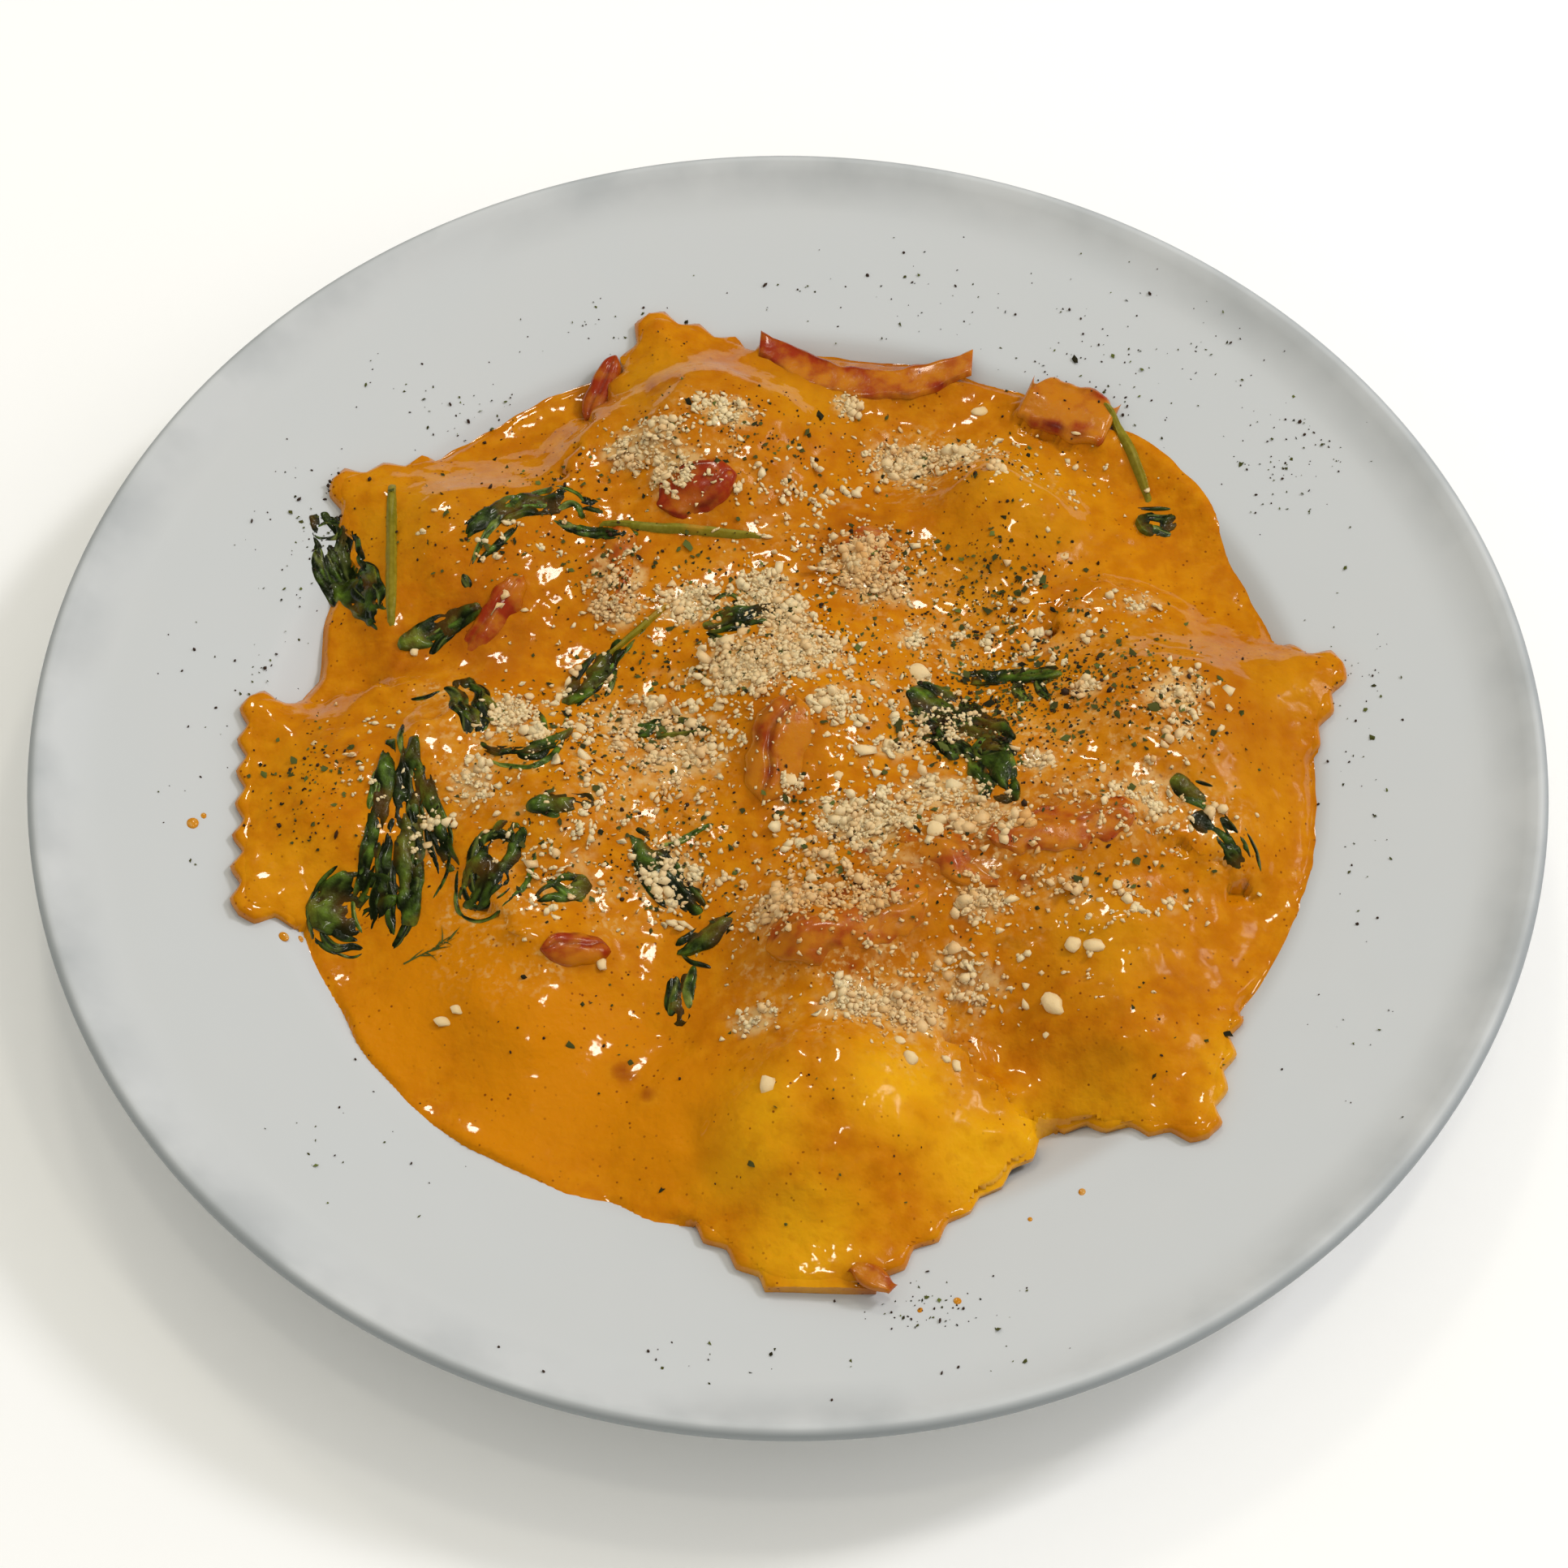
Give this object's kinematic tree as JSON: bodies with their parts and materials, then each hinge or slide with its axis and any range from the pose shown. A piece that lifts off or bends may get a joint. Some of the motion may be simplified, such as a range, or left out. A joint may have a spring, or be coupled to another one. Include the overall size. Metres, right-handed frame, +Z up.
{
  "type": "plate of ravioli",
  "caption": "Stuffed ravioli in cream sauce with spinach and roasted red pepper, plated on a wide-rimmed round white plate.",
  "frame": {"origin": "on the table, under the middle of the plate's foot ring", "axes": "+Z up, -Y towards the diner, +X to the diner's right"},
  "size_m": [0.305, 0.305, 0.0454],
  "materials": {
    "plate_glaze": "white porcelain under a clear gloss glaze",
    "cream_sauce": "orange cream sauce, wet gloss",
    "egg_pasta": "boiled egg pasta, satin wet",
    "roasted_pepper": "roasted red pepper, oily gloss",
    "wilted_spinach": "wilted spinach leaf, wet satin",
    "spinach_stem": "cooked olive-green stem, wet satin"
  },
  "bodies": {
    "root": {"plate": "plate_glaze", "sauce": "cream_sauce", "raviolo_01": "egg_pasta", "raviolo_02": "egg_pasta", "raviolo_03": "egg_pasta", "raviolo_04": "egg_pasta", "raviolo_05": "egg_pasta", "raviolo_06": "egg_pasta", "raviolo_07": "egg_pasta", "raviolo_08": "egg_pasta", "raviolo_09": "egg_pasta", "raviolo_10": "egg_pasta", "raviolo_11": "egg_pasta", "raviolo_12": "egg_pasta", "pepper_01": "roasted_pepper", "pepper_02": "roasted_pepper", "pepper_03": "roasted_pepper", "pepper_04": "roasted_pepper", "pepper_05": "roasted_pepper", "pepper_06": "roasted_pepper", "pepper_07": "roasted_pepper", "pepper_08": "roasted_pepper", "pepper_09": "roasted_pepper", "pepper_10": "roasted_pepper", "pepper_11": "roasted_pepper", "pepper_12": "roasted_pepper", "pepper_13": "roasted_pepper", "spinach_01": "wilted_spinach", "spinach_02": "wilted_spinach", "spinach_03": "wilted_spinach", "spinach_04": "wilted_spinach", "spinach_05": "wilted_spinach", "spinach_06": "wilted_spinach", "spinach_07": "wilted_spinach", "spinach_08": "wilted_spinach", "spinach_09": "wilted_spinach", "spinach_10": "wilted_spinach", "spinach_11": "wilted_spinach", "spinach_12": "wilted_spinach", "spinach_13": "wilted_spinach", "spinach_14": "wilted_spinach", "spinach_15": "wilted_spinach", "spinach_16": "wilted_spinach", "spinach_17": "wilted_spinach", "spinach_18": "wilted_spinach", "spinach_19": "wilted_spinach", "spinach_20": "wilted_spinach", "spinach_21": "wilted_spinach", "spinach_22": "wilted_spinach", "spinach_23": "wilted_spinach", "stem_01": "spinach_stem", "stem_02": "spinach_stem", "stem_03": "spinach_stem", "stem_04": "spinach_stem"}
  },
  "joints": []
}
